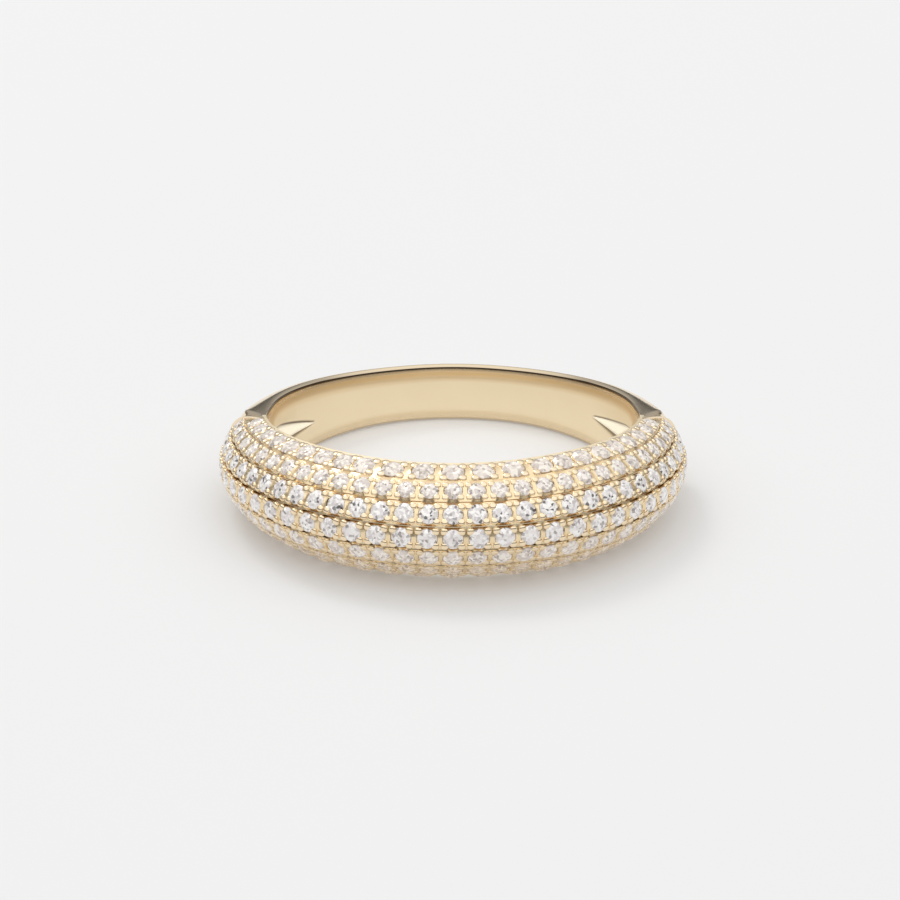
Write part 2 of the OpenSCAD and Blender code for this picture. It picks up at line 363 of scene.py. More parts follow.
def pick(piece):
    """Select this piece alone and make it the active one."""
    clear_selection()
    piece.select_set(True)
    bpy.context.view_layer.objects.active = piece


def points_of(piece):
    flat = np.empty(len(piece.data.vertices) * 3)
    piece.data.vertices.foreach_get("co", flat)
    return flat.reshape(-1, 3)


def move_points(piece, points):
    piece.data.vertices.foreach_set("co", np.ascontiguousarray(points).ravel())
    piece.data.update()


def polygons_of(piece):
    return [tuple(p.vertices) for p in piece.data.polygons]


def smooth_by_angle(piece, degrees):
    pick(piece)
    bpy.ops.object.shade_smooth_by_angle(angle=math.radians(degrees))


def tidy_mesh(piece):
    pick(piece)
    bpy.ops.object.mode_set(mode="EDIT")
    bpy.ops.mesh.select_all(action="SELECT")
    bpy.ops.mesh.remove_doubles(threshold=1e-7)
    bpy.ops.mesh.normals_make_consistent(inside=False)
    bpy.ops.object.mode_set(mode="OBJECT")


def copies(pattern, name, shapes, places=None, marks=None):
    """One piece made of copies of a modelled pattern, each with the points given for it."""
    polygons = polygons_of(pattern)
    count = len(pattern.data.vertices)
    points = np.concatenate(shapes)
    faces = [tuple(v + n * count for v in p) for n in range(len(shapes)) for p in polygons]
    mesh = bpy.data.meshes.new(name)
    mesh.from_pydata(points.tolist(), [], faces)
    piece = bpy.data.objects.new(name, mesh)
    bpy.context.scene.collection.objects.link(piece)
    if places is not None:
        cut = mesh.attributes.new("cut_place", "FLOAT_VECTOR", "POINT")
        cut.data.foreach_set("vector", np.concatenate(places).ravel())
    for mark, values in (marks or {}).items():
        made = mesh.attributes.new(mark, "FLOAT", "POINT")
        each = np.repeat(values, count) if len(values) == len(shapes) else values
        made.data.foreach_set("value", each)
    bpy.data.objects.remove(pattern)
    return piece


def into_place(piece, name, material):
    piece.name = name
    piece.data.name = name
    piece.data.materials.clear()
    piece.data.materials.append(material)
    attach(piece, "root")


# Materials

# A mix node's colour sockets, by number because its other kinds of value repeat their names
MIX_A, MIX_B, MIX_OUT = 6, 7, 2


class Sock:
    """A shader value that Python's own operators work on."""

    def __init__(self, tree, out):
        self.tree = tree
        self.out = out

    def maths(self, operation, *values):
        return self.tree.node("ShaderNodeMath", {"operation": operation}, values)

    def __add__(self, other):
        return self.maths("ADD", self, other)

    def __sub__(self, other):
        return self.maths("SUBTRACT", self, other)

    def __rsub__(self, other):
        return self.maths("SUBTRACT", other, self)

    def __mul__(self, other):
        return self.maths("MULTIPLY", self, other)

    __radd__ = __add__
    __rmul__ = __mul__

    def clamp(self):
        return self.tree.node("ShaderNodeClamp", {}, [self])


class Tree:
    """The nodes of one material."""

    def __init__(self, name):
        self.material = bpy.data.materials.new(name)
        self.material.use_nodes = True
        self.nodes = self.material.node_tree.nodes
        self.links = self.material.node_tree.links
        self.nodes.clear()
        self.end = self.nodes.new("ShaderNodeOutputMaterial")

    def node(self, kind, settings, values, output=0):
        made = self.nodes.new(kind)
        for key, value in settings.items():
            if key == "stops":
                self.set_stops(made.color_ramp, value)
            else:
                setattr(made, key, value)
        pairs = values.items() if isinstance(values, dict) else enumerate(values)
        for key, value in pairs:
            self.fill(made.inputs[key], value)
        return Sock(self, made.outputs[output])

    def fill(self, socket, value):
        if isinstance(value, Sock):
            self.links.new(value.out, socket)
        else:
            socket.default_value = value

    @staticmethod
    def set_stops(ramp, stops):
        while len(ramp.elements) > 1:
            ramp.elements.remove(ramp.elements[-1])
        for n, (place, tone) in enumerate(stops):
            stop = ramp.elements[0] if n == 0 else ramp.elements.new(place)
            stop.position = place
            stop.color = tone

    def mix(self, factor, a, b):
        return self.node("ShaderNodeMix", {"data_type": "RGBA"},
                         {"Factor": factor, MIX_A: a, MIX_B: b}, output=MIX_OUT)

    def noise(self, vector, scale, detail=2.0, rough=0.5):
        return self.node("ShaderNodeTexNoise", {},
                         {"Vector": vector, "Scale": scale, "Detail": detail, "Roughness": rough})

    def place(self, scale=(1, 1, 1)):
        coords = self.node("ShaderNodeTexCoord", {}, [], output="Object")
        return self.node("ShaderNodeMapping", {}, {"Vector": coords, "Scale": scale})

    def surface(self, shader):
        self.links.new(shader.out, self.end.inputs["Surface"])
        return self.material


def rgba(rgb, alpha=1.0):
    return (*rgb, alpha)


def polished_gold():
    t = Tree("polished_gold")
    wear = t.noise(t.place(), scale=1400, detail=3.0)
    rough = 0.09 + wear * 0.08
    bump = t.node("ShaderNodeBump", {}, {"Strength": 0.03, "Distance": 0.0001, "Height": wear})
    tone = t.mix(t.noise(t.place(), scale=300), rgba(colours().gold),
                 rgba([c * 0.95 for c in colours().gold]))
    return t.surface(t.node("ShaderNodeBsdfPrincipled", {}, {
        "Base Color": tone, "Metallic": 1.0, "Roughness": rough, "Normal": bump}))


def band_gold():
    """Polished outside, satin on the finger wall, dull and pale inside the hollow, which also
    gives off a painted glow. A painted reflection darkens the hole's rounded edge, and painted
    shade runs round the hollow, with a painted dark line under the hole's lip.
    """
    t = Tree("band_gold")
    satin, curved, matt, painted_dark_line_mark = [
        t.node("ShaderNodeAttribute", {"attribute_name": name}, [], output="Fac").clamp()
        for name in ("satin", "curved", "matt", "outline")]
    grain = t.noise(t.place((300, 300, 4200)), scale=1.0, detail=3.0)
    haze = t.noise(t.place(), scale=420)
    tone = t.mix(satin, rgba(colours().gold), rgba(colours().wall_gold))
    # Painted reflection: the hole's rounded edge turns darker and browner
    tone = t.mix(curved, tone, rgba(colours().reflected_edge_gold))
    tone = t.mix(haze * 0.25, tone, rgba([c * 0.9 for c in colours().gold]))
    # Matt gold in the hollow; its painted glow is added below
    tone = t.mix(matt, tone, rgba(colours().glowing_hollow_gold))
    # Painted shade round the hollow, and the painted dark line under the lip
    tone = t.mix(painted_dark_line_mark * 0.95, tone, rgba(colours().line))
    rough = 0.06 + haze * 0.05 + satin * (0.28 + grain * 0.08) + matt * 0.2
    height = grain * satin * (1 - matt)
    bump = t.node("ShaderNodeBump", {}, {"Strength": 0.12, "Distance": 0.00002, "Height": height})
    # The hollow gives off its own tone as a painted glow, except where its painted shade lies
    return t.surface(t.node("ShaderNodeBsdfPrincipled", {}, {
        "Base Color": tone, "Roughness": rough,
        "Metallic": 1.0 - matt * 0.75 - curved * 0.3 - satin * (1 - matt) * 0.35,
        "Normal": bump, "Emission Color": t.mix(matt * (1 - painted_dark_line_mark), (0, 0, 0, 1), tone),
        "Emission Strength": 0.4}))


def cut_gold():
    t = Tree("cut_gold")
    grain = t.noise(t.place(), scale=5000)
    bump = t.node("ShaderNodeBump", {}, {"Strength": 0.25, "Distance": 0.00003, "Height": grain})
    rough = 0.16 + grain * 0.14
    tone = t.mix(t.noise(t.place(), scale=900), rgba(colours().cut_gold),
                 rgba([c * 0.88 for c in colours().cut_gold]))
    # Painted shade: the deeper a point lies below the bars, the darker it is, in patches
    deep = t.node("ShaderNodeAttribute", {"attribute_name": "deep"}, [], output="Fac")
    patchy = t.noise(t.place(), scale=1300, detail=1.0)
    tone = t.mix(deep * (0.35 + patchy * 0.9), tone, rgba(colours().recess_shade_gold))
    return t.surface(t.node("ShaderNodeBsdfPrincipled", {}, {
        "Base Color": tone, "Metallic": 1.0, "Roughness": rough, "Normal": bump}))


# Painted tones of the reflections inside a calm stone and a lively one, from the darkest up
CALM = ((0.0, (0.50, 0.46, 0.45, 1)), (0.2, (0.70, 0.66, 0.66, 1)), (0.55, (0.84, 0.81, 0.82, 1)),
        (0.8, (1, 1, 1, 1)))
LIVELY = ((0.0, (0.05, 0.05, 0.06, 1)), (0.07, (0.14, 0.14, 0.16, 1)),
          (0.14, (0.62, 0.60, 0.62, 1)), (0.5, (0.86, 0.84, 0.86, 1)), (0.72, (1, 1, 1, 1)))


def clear_stone():
    """A clear stone seen from outside: sharp facets over a painted mosaic of inner reflections
    that also glows a little as painted light.

    The mosaic is laid out by each stone's own flat coordinates. One attribute says how lively
    the painted reflections are, and another how much painted reflection of the gold they carry."""
    t = Tree("clear_stone")
    place = t.node("ShaderNodeAttribute", {"attribute_name": "cut_place"}, [], output="Vector")
    fire = t.node("ShaderNodeAttribute", {"attribute_name": "fire"}, [], output="Fac")
    cell = t.node("ShaderNodeTexVoronoi", {"feature": "F1"}, {"Vector": place, "Scale": 7.5},
                  output="Color")
    bright = t.node("ShaderNodeSeparateXYZ", {}, [cell], output=2)
    away = t.node("ShaderNodeVectorMath", {"operation": "SUBTRACT"}, [cell, (0.5, 0.5, 0.5)])
    away = t.node("ShaderNodeVectorMath", {"operation": "SCALE"}, {0: away, "Scale": 0.6})
    facing = t.node("ShaderNodeNewGeometry", {}, [], output="Normal")
    tilted = t.node("ShaderNodeVectorMath", {"operation": "ADD"}, [facing, away])
    tilted = t.node("ShaderNodeVectorMath", {"operation": "NORMALIZE"}, [tilted])
    calm = t.node("ShaderNodeValToRGB", {"stops": CALM}, [bright])
    lively = t.node("ShaderNodeValToRGB", {"stops": LIVELY}, [bright])
    tone = t.mix(fire, calm, lively)
    warm = t.node("ShaderNodeAttribute", {"attribute_name": "warm"}, [], output="Fac")
    golden = t.node("ShaderNodeMix", {"data_type": "RGBA", "blend_type": "MULTIPLY"},
                    {"Factor": 1.0, MIX_A: tone, MIX_B: rgba(colours().gold)}, output=MIX_OUT)
    tone = t.mix(warm, tone, golden)
    # The mosaic's tone is also given off as a painted glow
    inner = t.node("ShaderNodeBsdfPrincipled", {}, {
        "Base Color": tone, "Metallic": 0.15, "Roughness": 0.15, "Normal": tilted,
        "Emission Color": tone, "Emission Strength": 0.16,
        "Coat Weight": 0.8, "Coat Roughness": 0.03, "Coat IOR": 1.9})
    glass = t.node("ShaderNodeBsdfPrincipled", {}, {
        "Base Color": rgba(colours().stone), "Roughness": 0.0, "IOR": 2.3,
        "Transmission Weight": 1.0})
    return t.surface(t.node("ShaderNodeMixShader", {}, [0.15, inner, glass]))


def pale_floor():
    t = Tree("pale_floor")
    speck = t.noise(t.place(), scale=60)
    tone = t.mix(speck * 0.06, rgba(colours().floor), rgba([c * 0.9 for c in colours().floor]))
    return t.surface(t.node("ShaderNodeBsdfPrincipled", {}, {
        "Base Color": tone, "Roughness": 0.8,
        "Emission Color": (1, 1, 1, 1), "Emission Strength": 0.18}))


# The pieces

def band_angles():
    """Angles of the band's sections, close together where the field ends."""
    near = np.arange(76, 100.1, 0.6)
    front = np.arange(0, 76, 2.0)
    back = np.arange(102, 180, 2.0)
    half = np.concatenate([front, near, back])
    return np.concatenate([-half[:0:-1], half, [180.0]])


# Places of a section's points on the outline, and the one of them that is on the crease
OUTER = np.concatenate([np.linspace(0, 0.955, 24), [0.966, 0.978, 0.989, 1.0]])
ON_CREASE = 17


def outer_share(n, a):
    """The share of the section's point n, spread so that one point keeps to the crease."""
    share, middle, at = OUTER[n], OUTER[ON_CREASE], crease_share(a)
    if share <= middle:
        return share / middle * at
    return at + (share - middle) / (1 - middle) * (1 - at)


# The power by which the hollow's ends widen and deepen, the least wall between it and the
# hole's edge, how much it deepens beyond its ends for each leaf run, and how far its left and
# right ends dip, the last four in mm
LEAF_POWER = 0.8
EDGE_WALL = 0.35
DEEPENING = 1.6
LEFT_DIP, RIGHT_DIP = 0.33, 0.3


def hollow_half(a):
    s = sizes()
    run = np.maximum(0, math.degrees(s.hollow_deg) - np.abs(a)) / math.degrees(s.leaf_run)
    most = np.minimum(s.hollow_w, half_w(a) - s.edge_r - EDGE_WALL * MM)
    return np.minimum(most, s.leaf_half * run ** LEAF_POWER)


def hollow_mid(a):
    """Height of the hollow's middle: its left end dips more than its right end."""
    s = sizes()
    run = np.maximum(0, math.degrees(s.hollow_deg) - np.abs(a)) / math.degrees(s.leaf_run)
    near = np.clip(1 - run, 0, 1) * way(a, 180, 150)
    return np.where(a < 0, -LEFT_DIP * near, -RIGHT_DIP * near * np.minimum(run, 1)) * MM


def hollow_depth(a):
    s = sizes()
    run = (math.degrees(s.hollow_deg) - np.abs(a)) / math.degrees(s.leaf_run)
    leaf = s.leaf_depth * np.maximum(0, run) ** LEAF_POWER
    deep = np.minimum(leaf + DEEPENING * MM * np.maximum(0, run - 1), crest(a) - s.hollow_wall)
    return np.maximum(0, deep)


# The finger hole's edge, as shares of the edge radius out from the wall and down from the
# ring's side: a narrow land, a crisp lip, and a slow curve into the straight wall. At the
# front the stones leave hardly any land, and at the back it slopes into the hole.
FRONT_OUT = (0.97, 0.93, 0.9, 0.87, 0.84, 0.8, 0.74, 0.6, 0.45, 0.31, 0.18, 0.07, 0.0)
EDGE_FORM = ((0.78, 0.0), (0.56, 0.01), (0.46, 0.03), (0.4, 0.07), (0.36, 0.14), (0.335, 0.24),
             (0.31, 0.36), (0.26, 0.52), (0.2, 0.68), (0.14, 0.82), (0.08, 0.96), (0.03, 1.1),
             (0.0, 1.25))
LAND_SLOPE = 0.24

# The hollow's section: shares of its half width and of its depth
HOLLOW_FORM = ((1.0, 0.0), (0.985, 0.5), (0.97, 0.95), (0.85, 1.0), (0.72, 1.0), (0.5, 1.0),
               (0.25, 1.0))

# Places of the wall's points, as shares of the way from the hollow to the hole's edge
WALL = (0.8, 0.55, 0.3, 0.1)

# How far the band lies under the stones' outer rows where they end, in mm
UNDER_RAILS = 0.03


def band_sections(a):
    """Points of every section: out and up from the crest, over the edge, down the finger
    wall with its hollow, and back up from below."""
    s = sizes()
    w = half_w(a)

    def outer(n, side):
        u = side * outer_share(n, a)
        in_field = (np.abs(a) < border_deg(u) - 0.7) & (np.abs(u) < 0.965)
        at_front = (np.abs(a) < border_deg(u))[:, None]
        under = lifted(a, u, -UNDER_RAILS * MM * (np.abs(u) < 0.99))
        plain = np.where(at_front, under, shank_skin(a, u))
        return np.where(in_field[:, None], lifted(a, u, -s.bed_drop), plain)

    def inner(side):
        front = way(a, 97, 81)
        slope = LAND_SLOPE * way(a, 118, 148)
        lines = [turn(HOLE_R + (out + (front_out - out) * front) * s.edge_r,
                      side * (w - np.maximum(down, (1 - out) * slope) * s.edge_r), a)
                 for front_out, (out, down) in zip(FRONT_OUT, EDGE_FORM)]
        z0 = side * (w - EDGE_FORM[-1][1] * s.edge_r)
        mid, half = hollow_mid(a), side * np.maximum(hollow_half(a), 0.01 * MM)
        for f in WALL:
            lines.append(turn(HOLE_R + 0 * a, mid + half + (z0 - mid - half) * f, a))
        for f, deep in HOLLOW_FORM:
            lines.append(turn(HOLE_R + hollow_depth(a) * deep, mid + half * f, a))
        return lines

    top = [outer(n, 1) for n in range(len(OUTER))] + inner(1)
    middle = [turn(HOLE_R + hollow_depth(a), hollow_mid(a), a)]
    low = inner(-1)[::-1] + [outer(n, -1) for n in range(len(OUTER) - 1, 0, -1)]
    return np.stack(top + middle + low, axis=1)


def section_marks():
    """How far each point of a section is satin wall, painted reflection on the rounded edge,
    dull hollow with a painted glow, painted shade round the hollow, and a painted dark line
    under the hole's lip."""
    def whole(edge, wall, hollow, middle, below=None):
        inner = edge + [wall] * len(WALL)
        outer = [0.0] * len(OUTER)
        low = (below or hollow)[::-1] + inner[::-1]
        return np.array(outer + inner + hollow + [middle] + low + outer[1:])

    downs = [down for _, down in EDGE_FORM]
    shares = [f for f, _ in HOLLOW_FORM]
    flat = [0.0] * len(shares)
    satin = [min(1.0, max(0.0, d - 0.2) * 2) for d in downs]
    # Painted reflection, strongest part way down the rounded edge
    curved = [math.exp(-((d - 0.75) / 0.45) ** 2) * (d > 0.2) for d in downs]
    return {
        "satin": whole(satin, 1.0, [1.0] * len(flat), 1.0),
        "curved": whole(curved, 0, flat, 0),
        # Matt finish over the hollow, which also carries its painted glow
        "matt": whole([0.0] * len(downs), 0.0, [float(f < 0.98) for f in shares], 1.0),
        # Painted shade round the hollow, wider and darker along its upper side than its lower side
        "outline": whole([0.0] * len(downs), 0.0, [1.0, 1.0, 1.0, 1.0, 0.4, 0.0, 0.0], 0.0,
                         below=[0.3, 0.8, 0.8, 0.2, 0.0, 0.0, 0.0]),
        # Painted dark line under the hole's lip: a dark reflection at the back, shade at the front
        "lip": whole([float(0.05 < d < 0.3) for d in downs], 0.0, flat, 0.0),
    }


def mark_band(band, a):
    """Store the marks as attributes. The hollow's stop where it runs out, and the edge
    of the field's part of the ring is satin."""
    marks = section_marks()
    in_hollow = (np.abs(a) < math.degrees(sizes().hollow_deg))[:, None]
    front = (np.abs(a) < 84)[:, None]
    n_outer, n_edge = len(OUTER), len(EDGE_FORM)
    below = slice(len(marks["curved"]) // 2, None)
    # The painted reflection on the edge and the painted dark line under the lip are fainter on the
    # lower side
    marks["curved"][below] *= 0.2
    marks["lip"][below] *= 0.3
    land = np.zeros(len(marks["satin"]))
    land[n_outer - 3:n_outer + n_edge] = 1.0
    land[-(n_outer + n_edge - 1):-(n_outer - 4)] = 1.0
    values = {
        "satin": np.maximum(marks["satin"][None, :] + 0 * a[:, None], front * land[None, :]),
        "curved": marks["curved"][None, :] + 0 * a[:, None],
        "matt": marks["matt"][None, :] * in_hollow,
        # Painted shade round the hollow, and the painted dark line under the lip, fainter at the
        # front
        "outline": np.maximum(marks["outline"][None, :] * in_hollow,
                              marks["lip"][None, :] * np.where(front, 0.45, 1.0)),
    }
    for name, value in values.items():
        mark = band.data.attributes.new(name, "FLOAT", "POINT")
        mark.data.foreach_set("value", np.ascontiguousarray(value).ravel())


def make_band():
    a = band_angles()
    points = band_sections(a)
    clear_selection()
    bpy.ops.mesh.primitive_torus_add(
        major_segments=points.shape[0], minor_segments=points.shape[1],
        major_radius=HOLE_R + sizes().side_t / 2, minor_radius=sizes().side_t / 2)
    band = bpy.context.object
    move_points(band, at_rest(points).reshape(-1, 3))
    mark_band(band, a)
    tidy_mesh(band)
    smooth_by_angle(band, 30)
    into_place(band, "band_casting", band_gold())
    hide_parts("dome", "shank")


# Places of a stone's prongs from its middle, and how deep they stand, as shares of its
# diameter; a prong's height above and below its middle, and its width up the outline, as
# shares of its radius; and the power that makes it a rounded block
PRONG_X, PRONG_Y, PRONG_SUNK = 0.41, 0.37, 0.1
PRONG_ABOVE, PRONG_BELOW, PRONG_WIDE = 0.55, 1.8, 0.92
BLOCK_POWER = 3

# A cell of the field is modelled two units wide, with its heights as shares of its stone. The
# seat's rim is a share of the seat, and so is the floor at the seat's bottom.
CELL_SIDES = 32
SEAT = 0.72
RIM = 1.05
SEAT_H, POST_H, BAR_H, CUT_H, WALL_H = -0.13, -0.05, -0.06, -0.18, -0.4
FLOOR_SHARE, FLOOR_DEPTH = 0.3, 0.42
RIM_RISE, RIM_WAVE = 0.03, 0.05

# Beyond AT_EDGE a pattern's point is on its border, and beyond AT_CORNER it is at a corner
AT_EDGE, AT_CORNER = 0.99, 0.6


def select_edges(piece, *tests):
    """Select the edges whose two ends both pass one of the tests."""
    points = points_of(piece)
    for e in piece.data.edges:
        e.select = any(all(test(points[v]) for v in e.vertices) for test in tests)
    for v in piece.data.vertices:
        v.select = False
    for p in piece.data.polygons:
        p.select = False


def edit(piece, kind="EDGE"):
    bpy.context.view_layer.objects.active = piece
    bpy.ops.object.mode_set(mode="EDIT")
    bpy.ops.mesh.select_mode(type=kind)


def square_reach(t):
    """Distance from the middle to the edge of a square of half side 1, in direction t."""
    return 1 / np.maximum(np.abs(np.cos(t)), np.abs(np.sin(t)))


def model_cell():
    """A conical seat, a rim, and a border that is high at its corners, lower between
    neighbours, cut down beside the stone, and walled on its two long sides."""
    clear_selection()
    floor_r = SEAT * FLOOR_SHARE
    bpy.ops.mesh.primitive_circle_add(vertices=CELL_SIDES, radius=floor_r, fill_type="NGON")
    cell = bpy.context.object
    edit(cell)
    bpy.ops.mesh.select_all(action="SELECT")
    bpy.ops.transform.translate(value=(0, 0, SEAT_H - FLOOR_DEPTH))
    rings = ((SEAT, SEAT_H), (SEAT * RIM, SEAT_H + RIM_RISE), (1.0, 0.0))
    radius, height = floor_r, SEAT_H - FLOOR_DEPTH
    for next_r, next_h in rings:
        grow = next_r / radius
        bpy.ops.mesh.extrude_edges_move()
        bpy.ops.transform.resize(value=(grow, grow, 1))
        bpy.ops.transform.translate(value=(0, 0, next_h - height))
        radius, height = next_r, next_h
    bpy.ops.object.mode_set(mode="OBJECT")

    points = points_of(cell)
    reach = np.hypot(points[:, 0], points[:, 1])
    turned = np.arctan2(points[:, 1], points[:, 0])
    border = reach > AT_EDGE
    points[border, :2] *= square_reach(turned[border])[:, None]
    x, y = np.abs(points[:, 0]), np.abs(points[:, 1])
    beside = border & (y > AT_EDGE) & (x < AT_CORNER)
    between = border & (x > AT_EDGE) & (y < AT_CORNER)
    points[border, 2] = POST_H
    points[beside, 2] = CUT_H
    points[between, 2] = BAR_H
    rim = (reach > SEAT * 1.01) & ~border
    points[rim, 2] = SEAT_H + RIM_WAVE * np.cos(2 * turned[rim]) ** 2 * np.where(
        np.abs(np.cos(turned[rim])) > 0.7, 1, -1) + RIM_WAVE
    move_points(cell, points)

    select_edges(cell, lambda p: abs(p[1]) > AT_EDGE)
    edit(cell)
    bpy.ops.mesh.extrude_edges_move()
    bpy.ops.object.mode_set(mode="OBJECT")
    points = points_of(cell)
    fresh = np.array([v.select for v in cell.data.vertices])
    points[fresh, 2] = WALL_H
    move_points(cell, points)
    return cell


def has_cut(k, side):
    """Whether row k has a cut line on its upper (1) or lower (-1) side. The outer two rows
    of each edge stand against each other, with no line between them."""
    last = len(ROWS) - 1
    return (k, side) not in ((0, 1), (1, -1), (last - 1, 1), (last, -1))


def half_row(k, side, tall):
    """Share of the outline from row k's middle to its upper (1) or lower (-1) side."""
    return ROW_U / 2 - (gems().groove_w / 2 / tall if has_cut(k, side) else 0)


def seat_place(k, i, h=0):
    """A stone's place on the outline, lifted by h, and the ways along, up and out there."""
    a, u = stone_deg(k, i), row_mid(k)
    along, up, out = (v[0] for v in frames(np.array([a]), np.array([u])))
    return lifted(a, u, h), along, up, out


def cell_points(pattern, k, i):
    """The pattern's points laid on the ring: its seat flat and round, its border on the
    lines that it shares with its neighbours."""
    a0, u0 = stone_deg(k, i), row_mid(k)
    low, high = edges_deg(k, i)
    x, y, h = pattern.T
    tall = arc_at(np.array([a0]))[0]
    span_a = np.where(x < 0, a0 - low, high - a0)
    span_u = np.where(y < 0, half_row(k, -1, tall), half_row(k, 1, tall))
    d = stone_d(k, i)
    reach, t = np.hypot(x, y), np.arctan2(y, x)
    grow = np.clip((reach - SEAT * RIM) / (square_reach(t) - SEAT * RIM), 0, 1)
    seat_r = np.minimum(reach, SEAT * RIM) / SEAT * d / 2
    closed = ((y > 0) & (not has_cut(k, 1))) | ((y < 0) & (not has_cut(k, -1)))
    h = np.where(closed & (grow > 0.5) & (h > WALL_H * 0.9), np.maximum(h, BAR_H), h) * d

    centre, along, up, out = seat_place(k, i)
    flat = (centre + np.outer(seat_r * np.cos(t), along) + np.outer(seat_r * np.sin(t), up)
            + np.outer(h, out))
    laid = lifted(a0 + np.clip(x, -1, 1) * span_a, u0 + np.clip(y, -1, 1) * span_u, h)
    return flat + (laid - flat) * grow[:, None]


def model_row_end():
    """The plain end of a row: a plate two units wide with a wall on three sides."""
    clear_selection()
    bpy.ops.mesh.primitive_grid_add(x_subdivisions=6, y_subdivisions=6, size=2)
    end = bpy.context.object
    select_edges(end, lambda p: p[0] > AT_EDGE, lambda p: abs(p[1]) > AT_EDGE)
    edit(end)
    bpy.ops.mesh.extrude_edges_move()
    bpy.ops.object.mode_set(mode="OBJECT")
    points = points_of(end)
    fresh = np.array([v.select for v in end.data.vertices])
    points[:, 2] = np.where(fresh, WALL_H, POST_H)
    move_points(end, points)
    return end


# The diameter, in mm, of the stone that a row end's heights are shares of
END_SCALE = 0.8


def row_end_points(pattern, k, side):
    x, y, h = pattern.T
    start = end_deg(k)
    tall = arc_at(np.array([start]))[0]
    span_u = np.where(y < 0, half_row(k, -1, tall), half_row(k, 1, tall))
    u = row_mid(k) + y * span_u
    a = start + (x + 1) / 2 * (border_deg(u) - start)
    return lifted(side * a, u, h * END_SCALE * MM)


# The border's reach as a share of the outline, how far its middle stands before the field's
# end and its half width in degrees, and its height and how far it is sunk in mm
BORDER_REACH = 0.97
BORDER_BEFORE, BORDER_HALF = 0.4, 0.85
BORDER_HIGH, BORDER_SUNK = 0.28, 0.2


def border_points(pattern, side):
    """The plain raised rim round the end of the field, laid out from a flat strip."""
    x, y, _ = pattern.T
    u = BORDER_REACH * x
    a = border_deg(u) - BORDER_BEFORE + y * BORDER_HALF
    h = np.sqrt(np.maximum(0, 1 - y ** 2)) * BORDER_HIGH * MM - BORDER_SUNK * MM
    return lifted(side * a, u, h)


def make_border():
    clear_selection()
    bpy.ops.mesh.primitive_grid_add(x_subdivisions=72, y_subdivisions=8, size=2)
    strip = bpy.context.object
    pattern = points_of(strip)
    rims = copies(strip, "border_rims", [at_rest(border_points(pattern, n)) for n in (-1, 1)])
    tidy_mesh(rims)
    smooth_by_angle(rims, 60)
    into_place(rims, "border_rims", polished_gold())


# How far below the bars the painted shade begins, and over what height it grows to its full tone
SHADE_FROM, SHADE_RUN = 0.02, 0.2


def make_field():
    cell = model_cell()
    pattern = points_of(cell)
    shapes = [cell_points(pattern, k, i) for k, i in cells()]
    # Painted shade: how far each point lies below the bars
    deep = np.clip((BAR_H - pattern[:, 2] - SHADE_FROM) / SHADE_RUN, 0, 1)
    field = copies(cell, "pave_field", [at_rest(p) for p in shapes],
                   marks={"deep": np.tile(deep, len(shapes))})
    for side in (-1, 1):
        end = model_row_end()
        if side < 0:
            end.data.flip_normals()
        pattern = points_of(end)
        shapes = [at_rest(row_end_points(pattern, k, side)) for k in range(len(ROWS))]
        ends = copies(end, "row_ends", shapes)
        pick(field)
        ends.select_set(True)
        bpy.ops.object.join()
    clear_selection()
    edit(field)
    bpy.ops.mesh.select_all(action="SELECT")
    bpy.ops.mesh.remove_doubles(threshold=2e-6)
    bpy.ops.object.mode_set(mode="OBJECT")
    smooth_by_angle(field, 40)
    into_place(field, "pave_field", cut_gold())


def model_prong():
    """A worn prong tip: a rounded block, flat on top, that reaches down into the metal."""
    clear_selection()
    bpy.ops.mesh.primitive_uv_sphere_add(segments=12, ring_count=8, radius=1)
    prong = bpy.context.object
    points = points_of(prong)
    reach = (np.abs(points) ** BLOCK_POWER).sum(axis=1) ** (1 / BLOCK_POWER)
    points = points / np.maximum(reach, 1e-9)[:, None]
    points[:, 2] *= np.where(points[:, 2] < 0, PRONG_BELOW, PRONG_ABOVE)
    move_points(prong, points)
    return prong


def make_prongs():
    prong = model_prong()
    x, y, h = points_of(prong).T
    shapes = []
    for k, i in cells():
        d = stone_d(k, i)
        centre, along, up, out = seat_place(k, i)
        radius = gems().prong_r * d / MM
        block = radius * (np.outer(x, along) + PRONG_WIDE * np.outer(y, up) + np.outer(h, out))
        for sx in (-1, 1):
            for sy in (-1, 1):
                foot = PRONG_X * sx * along + PRONG_Y * sy * up - PRONG_SUNK * out
                shapes.append(at_rest(centre + d * foot + block))
    prongs = copies(prong, "prongs", shapes)
    smooth_by_angle(prongs, 80)
    into_place(prongs, "prongs", polished_gold())


# Facets of a round stone of diameter 1: how many, the first one's turn, their tilt from
# flat, up or down, and how far out from the axis they pass at the height given
GIRDLE_H = 0.015
FACETS = (
    (8, 0.0, 34.5, 1, 0.5, GIRDLE_H),
    (16, 11.25, 42.0, 1, 0.4904, GIRDLE_H),
    (8, 22.5, 21.0, 1, 0.292, 0.15),
    (1, 0.0, 0.0, 1, 0.0, 0.15),
    (8, 0.0, 40.75, -1, 0.5, -GIRDLE_H),
)


# How lively the painted reflections in the stones of each row are, and how much painted
# reflection of the gold they carry, from the lower edge to the upper edge
SPARKLE = (0.1, 0.1, 0.2, 0.45, 1.0, 0.35, 0.1)
GOLD_REFLECTION = (0.8, 0.8, 0.3, 0.08, 0.1, 0.3, 0.4)

# Each stone stands a little differently: degrees of turn from one to the next and where they
# repeat, the steps and the size of its lean, and its step through the painted mosaic of
# reflections
TURN_STEP, TURN_REPEAT = 37, 45
LEAN_STEP_X, LEAN_STEP_Y, LEAN_DEG = 2.4, 1.7, 3.0
MOSAIC_STEP = 0.618


